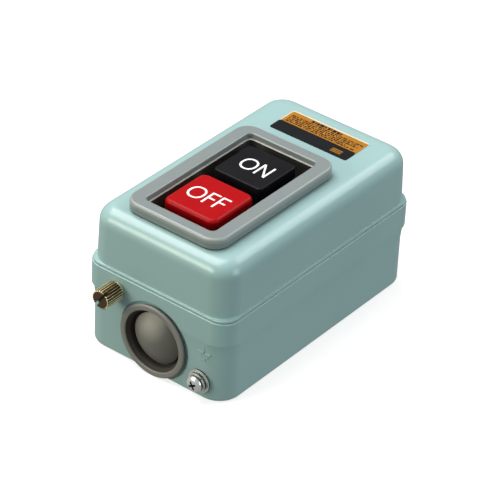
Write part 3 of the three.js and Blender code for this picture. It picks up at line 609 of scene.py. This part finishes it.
# ---------------------------------------------------------------- bezel and buttons
def bezel():
    """The raised grey frame round the buttons: undercut foot, inner ledge with a bead, and deep skirt. Its outer
    top edge and the ledge's bead are painted lighter as painted highlights; the skirt under the ledge and the
    undercut foot are painted near-black as painted shade.
    """
    foot = COVER_TOP + 0.02
    ledge = BEZEL_TOP - 2.75
    edge, lip, seam, corner = 1.3, 0.6, 0.7, 7.4
    skirt_wall = 1.8

    def outer(z, inset, radius):
        return inset_ring(BEZEL_X, *BEZEL_Y, radius, inset, z)

    def hole(z, inset, radius):
        return inset_ring(BEZEL_HOLE_X, *BEZEL_HOLE_Y, radius, inset, z)

    rings = [outer(foot, 0.5, 7), outer(foot + seam - 0.1, 0.4, 7.1), outer(foot + seam, 0.05, corner),
             outer(BEZEL_TOP - edge - 0.8, 0, corner)]
    for a in quarter(6):
        shift = edge * (1 - math.cos(a))
        rings.append(outer(BEZEL_TOP - edge + edge * math.sin(a), shift, corner - shift))
    rings.append(outer(BEZEL_TOP, edge + 0.4, 6))
    rings.append(hole(BEZEL_TOP, -lip - 0.4, 3.2))
    for a in reversed(quarter(4)):
        shift = lip * (1 - math.cos(a))
        rings.append(hole(BEZEL_TOP - lip + lip * math.sin(a), -shift, 2.4 + shift))
    rings += [hole(ledge + 0.1, 0, 2.3), hole(ledge, 0.1, 2.3)]
    rings += [hole(ledge + 0.12 * math.sin(a) - 0.1, 0.5 - 0.25 * math.cos(a), 2.1)
              for a in (0.8, 1.6, 2.4, 3.1)]
    rings += [hole(ledge - 0.6, 0.75, 2), hole(ledge - 0.7, 0.62, 2), hole(SKIRT_BOTTOM, 0.6, 2),
              hole(SKIRT_BOTTOM, -skirt_wall, 3.2), hole(foot - 0.3, -skirt_wall, 3.2), hole(foot, -2.0, 3.2)]
    frame_body = mesh_object("button_bezel", loft(rings, closed=True))
    piece(frame_body, "cover", "bezel_plastic", ["bezel_frame"])

    def inside(spot):
        """True over the buttons' opening."""
        near = 0.1
        x, y = spot.x / MM, spot.y / MM
        return abs(x) < BEZEL_HOLE_X + near and BEZEL_HOLE_Y[0] - near < y < BEZEL_HOLE_Y[1] + near

    # Faces of the ledge's bead, which take the painted highlight.
    def on_bead_highlight(spot):
        return ledge - 0.2 < spot.z / MM < ledge + 0.06

    # Faces of the outer top edge, which take the painted highlight.
    def on_edge_highlight(spot):
        return BEZEL_TOP - edge - 0.9 < spot.z / MM < BEZEL_TOP - 0.03 and not inside(spot)

    # Faces of the well under the ledge, and of the foot and skirt outside it, which take the painted shade.
    def in_painted_shade(spot):
        return spot.z / MM < (ledge - 0.2 if inside(spot) else foot + seam)

    paint_faces(frame_body, "bezel_bead_highlight", on_bead_highlight)
    paint_faces(frame_body, "bezel_edge_highlight", on_edge_highlight)
    paint_faces(frame_body, "bezel_painted_shade", in_painted_shade)


def key_cap(name, body, material, edge, corner):
    """A button cap with its stem: rounded top edges, walls that widen downwards and a hollow underside."""
    low, high = low_high(body)
    half_x, y1, top = high
    y0 = low[1]
    centre = (y0 + y1) / 2
    bottom, wall, roof = 60, 2.2, 2.6

    def ring(z, inset, radius):
        return inset_ring(half_x, y0, y1, max(0.5, radius), inset, z)

    rings = [ring(bottom, 0, corner), ring(top - edge - 0.6, CAP_DRAFT, corner)]
    for a in quarter(6):
        shift = edge * (1 - math.cos(a))
        rings.append(ring(top - CAP_CROWN - edge + edge * math.sin(a), CAP_DRAFT + shift,
                          corner - 0.6 * shift))
    crown_reach = 9
    for inward in (0.35, 0.8, 1.5, 2.6, 4.2, 6.4, 8.8):
        lift = CAP_CROWN * (1 - (1 - inward / crown_reach) ** 2)
        rings.append(ring(top - CAP_CROWN + lift, CAP_DRAFT + edge + inward,
                          max(0.6, corner - 0.6 * edge - inward * 0.5)))
    cap = mesh_object(name, loft(rings))
    hollow = loft([outline(half_x - wall, y0 + wall, y1 - wall, 1, z) for z in (bottom - 1, top - roof)])
    combine(cap, hollow, "DIFFERENCE")
    stem_low, collar_top = 49.9, 52.1
    stem = together(
        block((-4, centre - 4, stem_low), (4, centre + 4, top - roof + 0.3)),
        block((-5.5, centre - 3, stem_low), (5.5, centre + 3, collar_top)),
        block((-3, centre - 2, low[2]), (3, centre + 2, collar_top)),
    )
    combine(cap, stem, "UNION")
    piece(cap, body, material, [body])


def letter_o(x0, x1, y0, y1, stroke):
    """A ring of even stroke, slightly squarer than an ellipse."""
    steps = 48
    rings = []
    for inset, z in ((0, 0), (0, 1), (stroke, 1), (stroke, 0)):
        ring = []
        for i in range(steps):
            angle = 2 * math.pi * i / steps
            reach = [math.copysign(abs(f(angle)) ** 0.9, f(angle)) for f in (math.cos, math.sin)]
            ring.append(((x0 + x1) / 2 + reach[0] * ((x1 - x0) / 2 - inset),
                         (y0 + y1) / 2 + reach[1] * ((y1 - y0) / 2 - inset), z))
        rings.append(ring)
    return loft(rings, closed=True)


def bar(corners):
    """A flat polygon given anticlockwise, one unit thick."""
    return loft([[(x, y, z) for x, y in corners] for z in (0, 1)])


def letter_f(x0, x1, y0, y1, stroke):
    middle = y0 + (y1 - y0) * 0.46
    short = x1 - 0.5
    left = x0 + stroke
    return bar([(x0, y0), (left, y0), (left, middle), (short, middle), (short, middle + stroke),
                (left, middle + stroke), (left, y1 - stroke), (x1, y1 - stroke), (x1, y1), (x0, y1)])


def letter_n(x0, x1, y0, y1, stroke):
    slant = stroke * 1.25 * 1.35
    left, right, across = x0 + stroke, x1 - stroke, stroke * 1.05
    return bar([(x0, y0), (left, y0), (left, y1 - slant), (x1 - across, y0), (x1, y0),
                (x1, y1), (right, y1), (right, y0 + slant), (x0 + across, y1), (x0, y1)])


def lettering(name, letters, body):
    """White letters printed on a button, a few hundredths of a millimetre proud."""
    sunk, thick = 0.04, 0.07
    verts, faces = together(*letters)
    top = low_high(body)[1][2]
    flat = [(x, y, top - sunk + z * thick) for x, y, z in verts]
    piece(mesh_object(name, (flat, faces)), body, "marking_white")


def words():
    """The generic ON and OFF words."""
    def placed(letter, x0, x1, span):
        return letter(x0, x1, *span, LETTER_STROKE)

    on_y, off_y = (-4.6, 4.2), (-36.3, -27.3)
    lettering("on_word", [placed(letter_o, -7.1, 0.7, on_y), placed(letter_n, 1.9, 7.9, on_y)], "on_button")
    lettering("off_word", [placed(letter_o, -9.8, -1.8, off_y), placed(letter_f, -0.5, 4.0, off_y),
                           placed(letter_f, 5.0, 9.4, off_y)], "off_button")


# ---------------------------------------------------------------- rating plate
def rating_plate():
    """A foil plate: dark band in front, gold field with rows of plain dashes behind."""
    x1, y0, y1, z0 = PLATE_HIGH[0], PLATE_LOW[1], PLATE_HIGH[1], COVER_TOP
    thick, sunk, raised, half_x = 0.22, 0.02, 0.015, x1 - 0.5
    low, high = z0 + thick - 0.05, z0 + thick + raised

    def sheet(name, material, half_x, front, rear, radius, low, high, nodes=()):
        shape = loft([outline(half_x, front, rear, radius, z) for z in (low, high)])
        piece(mesh_object(name, moved(shape, (x1 - half_x, 0, 0))), "cover", material, nodes)

    sheet("plate_margin_sheet", "plate_margin", half_x, y0 + 5, y1, 1.2, z0 - sunk, z0 + thick,
          ["rating_plate"])
    sheet("plate_field", "plate_foil", half_x - 0.25, y0 + 4, y1 - 0.9, 0.6, low, high)
    sheet("plate_band", "plate_print", half_x, y0, y0 + 7.7, 1.0, z0 - sunk, high + raised)
    # Distance from the far edge, height, and the start and end as shares of the plate's width.
    rows = [(1.4, 1.7, 0.28, 0.66), (3.5, 0.8, 0.05, 0.95), (4.75, 0.8, 0.05, 0.9), (6.0, 0.8, 0.05, 0.95),
            (7.25, 0.8, 0.05, 0.82), (8.5, 0.8, 0.05, 0.95)]
    widths = (1.5, 0.7, 1.1, 2.1, 0.8, 1.3, 0.5, 1.8)
    gap, wide_gap, group = 0.42, 0.9, 5
    strokes = []
    for index, (down, height, start, end) in enumerate(rows):
        x, step = x1 - 2 * half_x * (1 - start), index * 3
        while x < x1 - 2 * half_x * (1 - end):
            width = widths[step % len(widths)]
            strokes.append(block((x, y1 - down - height, high - 0.03), (x + width, y1 - down, high + raised)))
            x += width + (wide_gap if step % group == group - 1 else gap)
            step += 1
    piece(mesh_object("plate_strokes", together(*strokes)), "cover", "plate_print")
    lines = [block((11, y, high), (16.6, y + 0.55, high + 0.03)) for y in (y0 + 2, y0 + 3.1, y0 + 4.2)]
    piece(mesh_object("plate_lines", together(*lines)), "cover", "plate_foil")


# ---------------------------------------------------------------- grommets
def grommet_shape():
    """Rubber plug about +Z, its wall face at height 0: rounded ring, deep groove and a domed disc."""
    neck, lip = GROMMET_HOLE - 0.3, GROMMET_HOLE + 0.4
    wall, seat = CASE_WALL - BODY_INSET, 0.05 - GROMMET_SEAT_DEPTH
    rim, inner, disc, groove = GROMMET_RING, GROMMET_INNER, GROMMET_DISC, 13.4
    profile = [(0, -0.4), (disc * 0.5, -1.1), (disc - 1.4, -2.6), (disc - 0.9, -wall - 1.5),
               (lip - 0.3, -wall - 1.5), (lip, -wall - 1.2), (lip, -wall - 0.3), (neck, -wall - 0.3),
               (neck, seat), (rim - 0.9, seat), (rim - 0.9, 0.4), (rim - 0.3, 0.5)]
    profile += [(rim - 0.8 + 0.8 * math.sin(a), 1.25 - 0.75 * math.cos(a)) for a in quarter(4)]
    profile += [(rim - 0.9 + 0.9 * math.cos(a), 1.3 + 0.75 * math.sin(a)) for a in quarter(5)]
    profile += [(inner + 1.2, 2.03)]
    profile += [(inner + 0.6 - 0.6 * math.sin(a), 1.45 + 0.6 * math.cos(a)) for a in quarter(4)]
    profile += [(inner - 0.2, 0.9), (groove + 0.15, -0.1), (groove, -0.5), (groove - 0.05, -2.8),
                (groove - 0.3, -3.05), (disc + 0.2, -3.05), (disc, -2.8), (disc, -2.1)]
    apex, ball, steps = 1.6, 23.2, 16
    for i in range(1, steps + 1):
        reach = disc * math.cos(i / steps * math.pi / 2) if i < steps else 0
        profile.append((reach, apex - ball + math.sqrt(ball ** 2 - reach ** 2)))
    return turned(profile, 96)


def grommet(name, side):
    """A cable plug in the near (side -1) or far (side 1) end wall, with painted shade in its groove and painted
    light on its dome.
    """
    turn = Matrix.Rotation(-side * math.pi / 2, 3, "X")
    shape = moved(grommet_shape(), (GROMMET_X, side * END_FACE, GROMMET_Z), turn)
    plug = piece(mesh_object(f"{name}_grommet", shape), "case", "grommet_rubber", [f"cable_grommet_{name}"])

    def reach_and_height(spot):
        """Distance from the plug's axis, and height over the wall's face."""
        return math.hypot(spot.x / MM - GROMMET_X, spot.z / MM - GROMMET_Z), abs(spot.y) / MM - END_FACE

    def in_groove(spot):
        reach, height = reach_and_height(spot)
        return GROMMET_DISC - 0.05 < reach < GROMMET_INNER - 0.01 and -3.2 < height < 1.3

    def on_dome(spot):
        reach, height = reach_and_height(spot)
        return reach < GROMMET_DISC - 0.05 and height > -2.2

    # The groove takes painted shade, and the dome takes painted light.
    paint_faces(plug, "groove_shade", in_groove)
    paint_faces(plug, "membrane_painted_light", on_dome)


# ---------------------------------------------------------------- screws
def outward():
    """Turns +Z to -Y, out of the front face."""
    return Matrix.Rotation(math.pi / 2, 3, "X")


def knurled_screw():
    """The cover's thumb screw: straight-knurled head, slotted end, neck and shank."""
    x, z = THUMB_CENTRE
    radius = THUMB_RADIUS
    head_top = -HALF_Y - THUMB_LOW[1]
    ridges, per_ridge = 24, 8
    slot_half, slot_depth, slot_turn = 0.65, 2.2, 53.5
    # Height, distance in from the full radius and depth of the knurl for each ring of the head.
    rows = [(1.05, 1.0, 0), (1.2, 0.35, 0.5), (1.45, 0, 0.8), (head_top - 0.45, 0, 0.8),
            (head_top - 0.1, 0.3, 0.6), (head_top, 0.75, 0.2)]
    rings = []
    for height, shrink, depth in rows:
        ring = []
        for i in range(ridges * per_ridge):
            angle = 2 * math.pi * i / (ridges * per_ridge)
            reach = radius - shrink - depth * abs(math.sin(angle * ridges / 2)) ** 0.8
            ring.append((reach * math.cos(angle), reach * math.sin(angle), height))
        rings.append(ring)
    head = mesh_object("knurled_screw", loft(rings))
    core = turned([(0, -12.6), (1.7, -12.6), (2, -12.2), (2, -0.2), (3.4, 0.1), (3.6, 0.3), (3.6, 0.9),
                   (3.4, 1.3), (3.4, 1.8), (0, 1.8)], 48)
    combine(head, core, "UNION")
    slot = block((-6, -slot_half, head_top - slot_depth), (6, slot_half, head_top + 1))
    combine(head, slot, "DIFFERENCE")
    turn = outward() @ Matrix.Rotation(math.radians(slot_turn), 3, "Z")
    head.data.transform(Matrix.Translation(Vector((x, -HALF_Y, z)) * MM) @ turn.to_4x4())
    piece(head, "thumb_screw", "screw_brass", ["thumb_screw"])

    def in_knurl_shade(spot):
        """True between the ridges and over the slotted end, where the brass is painted dark as painted shade."""
        reach = math.hypot(spot.x / MM - x, spot.z / MM - z)
        along = spot.y / MM - THUMB_LOW[1]
        in_knurl = 0.3 < along < head_top - 1.3 and radius - 1 < reach < radius - 0.42
        return in_knurl or (along < slot_depth + 0.1 and reach < radius - 0.8)

    paint_faces(head, "knurl_painted_shade", in_knurl_shade)


def pan_head(name, radius, height, shank, length):
    """A cross-recessed pan head screw about +Z, seated on height 0."""
    brim, crown = height * 0.38, radius * 0.35
    profile = [(0, -length), (shank - 0.3, -length), (shank, -length + 0.3), (shank, 0), (radius - 0.15, 0),
               (radius, 0.15), (radius, brim)]
    profile += [(crown + (radius - crown) * math.cos(a), brim + (height - brim) * math.sin(a))
                for a in quarter(7)[1:]]
    profile += [(0, height)]
    screw = mesh_object(name, turned(profile, 48))
    corners = ((1, 1), (-1, 1), (-1, -1), (1, -1))
    # Height, half length and half width of the recess at its bottom and above the head.
    levels = ((height * 0.1, radius * 0.16, radius * 0.07), (height * 1.3, radius * 0.66, radius * 0.15))
    wing = loft([[(sx * reach, sy * width, z) for sx, sy in corners] for z, reach, width in levels])
    cross = [moved(wing, turn=Matrix.Rotation(turn, 3, "Z")) for turn in (0, math.pi / 2)]
    combine(screw, together(*cross), "DIFFERENCE")
    return screw


def earth_screw():
    """The earthing screw with its split and flat washers on the near end face."""
    x, z = EARTH_CENTRE
    radius = EARTH_HIGH[0] - x
    height, bore, flat_rim, split_rim = 2.6, 2.2, 5.5, 4.5
    seat = EARTH_LOW[1] + height
    screw = pan_head("earth_pan_screw", radius, height, 1.9, 10)
    turn = outward() @ Matrix.Rotation(0.5, 3, "Z")
    screw.data.transform(Matrix.Translation(Vector((x, seat, z)) * MM) @ turn.to_4x4())
    piece(screw, "case", "zinc_steel", ["earth_screw"])

    def reach_of(spot):
        return math.hypot(spot.x / MM - x, spot.z / MM - z)

    def shaded(spot):
        """True in the cross and round the side of the head."""
        along = seat - spot.y / MM
        in_cross = reach_of(spot) < radius * 0.6 and along < height * 0.9
        return 0 < along and (in_cross or (reach_of(spot) > radius * 0.99 and along < height * 0.4))

    paint_faces(screw, "zinc_shade", shaded)

    def washer(name, rim, low, high):
        profile = [(bore, low), (rim - 0.15, low), (rim, low + 0.15), (rim, high - 0.15), (rim - 0.15, high),
                   (bore, high)]
        return mesh_object(name, moved(turned(profile, 64, closed=True), (x, -END_FACE, z), outward()))

    flat = washer("earth_flat_washer", flat_rim, 0.1, 1.08)
    piece(flat, "case", "zinc_steel", ["earth_washer"])
    paint_faces(flat, "zinc_shade", lambda spot: reach_of(spot) > flat_rim - 0.05)
    split = washer("earth_split_washer", split_rim, 1.2, 2.58)
    split_turn = outward() @ Matrix.Rotation(0.9, 3, "Z")
    gap = moved(block((0, -0.3, 0.8), (6, 0.3, 3)), (x, -END_FACE, z), split_turn)
    combine(split, gap, "DIFFERENCE")
    piece(split, "case", "zinc_steel", ["earth_lock_washer"])
    paint_faces(split, "zinc_shade", lambda spot: reach_of(spot) > split_rim - 0.05)


def earth_mark():
    """The raised protective-earth sign above the screw: one stem over three shorter and shorter bars."""
    x, proud, stroke = 27.2, 0.35, 0.75
    bars = [(x - stroke / 2, x + stroke / 2, 23.6, 28.4)]
    bars += [(x - half, x + half, low, low + stroke) for half, low in ((3.1, 23.2), (2.0, 21.6), (0.9, 20.0))]
    shapes = [block((x0, -END_FACE - proud, z0), (x1, -END_FACE + 0.2, z1)) for x0, x1, z0, z1 in bars]
    piece(mesh_object("earth_mark", together(*shapes)), "case", "case_paint")


# ---------------------------------------------------------------- springs
def coil_shape(radius, z0, z1, wire, turns):
    """A coil spring about +Z with closed end turns."""
    sides, per_turn, closed_share = 10, 28, 0.12
    steps = int(turns * per_turn)
    rings = []
    for i in range(steps + 1):
        share = i / steps
        angle = 2 * math.pi * turns * share
        rise = min(1, max(0, (share - closed_share) / (1 - 2 * closed_share)))
        out = Vector((math.cos(angle), math.sin(angle), 0))
        centre = out * radius + Vector((0, 0, z0 + wire + (z1 - z0 - 2 * wire) * rise))
        rings.append([tuple(centre + (out * math.cos(b) - Vector((0, 0, 1)) * math.sin(b)) * wire)
                      for b in (2 * math.pi * k / sides for k in range(sides))])
    return loft(rings)


def springs():
    """Fine coils in place of the frame's plain ones. Those between two bodies ride on the case and keep a mesh of
    their own.
    """
    thick_wire, thin_wire = 0.5, 0.36
    flattening = [("on_return_spring", "on_press", 5), ("off_return_spring", "off_press", 5),
                  ("carriage_spring_front", "carriage_travel", 8),
                  ("carriage_spring_rear", "carriage_travel", 8)]
    riding = [(f"contact_spring_{pole}", None, 6) for pole in (1, 2, 3)]
    for node, joint, turns in flattening + riding:
        low, high = low_high(node)
        width, height = high[0] - low[0], high[2] - low[2]
        x, y = [(a + b) / 2 for a, b in zip(low, high)][:2]
        wire = thick_wire if width > 10 else thin_wire
        shape = moved(coil_shape(width / 2 - wire, low[2], high[2], wire, turns), (x, y, 0))
        coil = mesh_object(node.replace("spring", "coil"), shape)
        piece(coil, "case" if joint else "carriage", "steel", [node])
        if joint:
            coil.modifiers.clear()
            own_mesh(coil)


# ---------------------------------------------------------------- carried-over nodes
def dress_nodes():
    """Materials and softened edges on the CAD nodes that stay."""
    for name, obj in frame["nodes"].items():
        if obj.hide_render:
            continue
        obj.data.materials.clear()
        obj.data.materials.append(FINISH[SLOT_OF[name]])
        bevel = obj.modifiers.new("edge", "BEVEL")
        bevel.width = 0.15 * MM
        bevel.segments = 2
        bevel.limit_method = "ANGLE"
        bevel.angle_limit = math.radians(40)
        bevel.harden_normals = True


# ---------------------------------------------------------------- stage
def area_light(name, place, size, power, tint=(1, 1, 1)):
    """A soft light aimed at the middle of the starter, in metres and watts."""
    light = bpy.data.lights.new(name, "AREA")
    light.shape = "RECTANGLE"
    light.size, light.size_y = size
    light.energy = power
    light.color = tint
    obj = bpy.data.objects.new(name, light)
    obj.location = place
    obj.rotation_euler = (Vector((0, 0, 0.03)) - Vector(place)).to_track_quat("-Z", "Y").to_euler()
    bpy.context.scene.collection.objects.link(obj)


def stage():
    """A pale floor that stays out of reflections and bounced light, and soft studio light."""
    half, corner, bottom, top = 3000, 500, -12, -0.05
    floor = mesh_object("floor", loft([outline(half, -half, half, corner, z) for z in (bottom, top)]))
    pale = Finish("floor_card", (0.40, 0.40, 0.40), 0.9, specular=0.1)
    pale.set("Emission Color", (1, 1, 1, 1))
    pale.set("Emission Strength", 0.72)
    floor.data.materials.append(pale.mottle(3, 0.01).material)
    floor.visible_diffuse = False
    floor.visible_glossy = False
    world = bpy.data.worlds.new("studio")
    bpy.context.scene.world = world
    world.use_nodes = True
    background = world.node_tree.nodes["Background"]
    background.inputs["Color"].default_value = (1, 1, 1, 1)
    background.inputs["Strength"].default_value = 0.28
    area_light("overhead", (-0.65, -0.05, 1.4), (1.3, 1.3), 31, (1, 0.965, 0.965))
    area_light("rear", (0.3, 1.2, 1.2), (1.2, 0.6), 9)
    area_light("front", (-0.7, -1.35, 0.6), (0.9, 0.6), 13.6, (1, 0.97, 0.80))
    area_light("right", (1.5, 0.2, 0.5), (0.8, 0.8), 8.5, (0.88, 1, 1))
    bpy.context.scene.view_settings.view_transform = "Standard"


make_camera()
FINISH = make_finishes()
case_base()
case_cover()
bezel()
key_cap("on_key", "on_button", "on_plastic", edge=0.5, corner=1.8)
key_cap("off_key", "off_button", "off_plastic", edge=1.7, corner=3.4)
words()
rating_plate()
grommet("front", -1)
grommet("rear", 1)
knurled_screw()
earth_screw()
earth_mark()
springs()
dress_nodes()
stage()
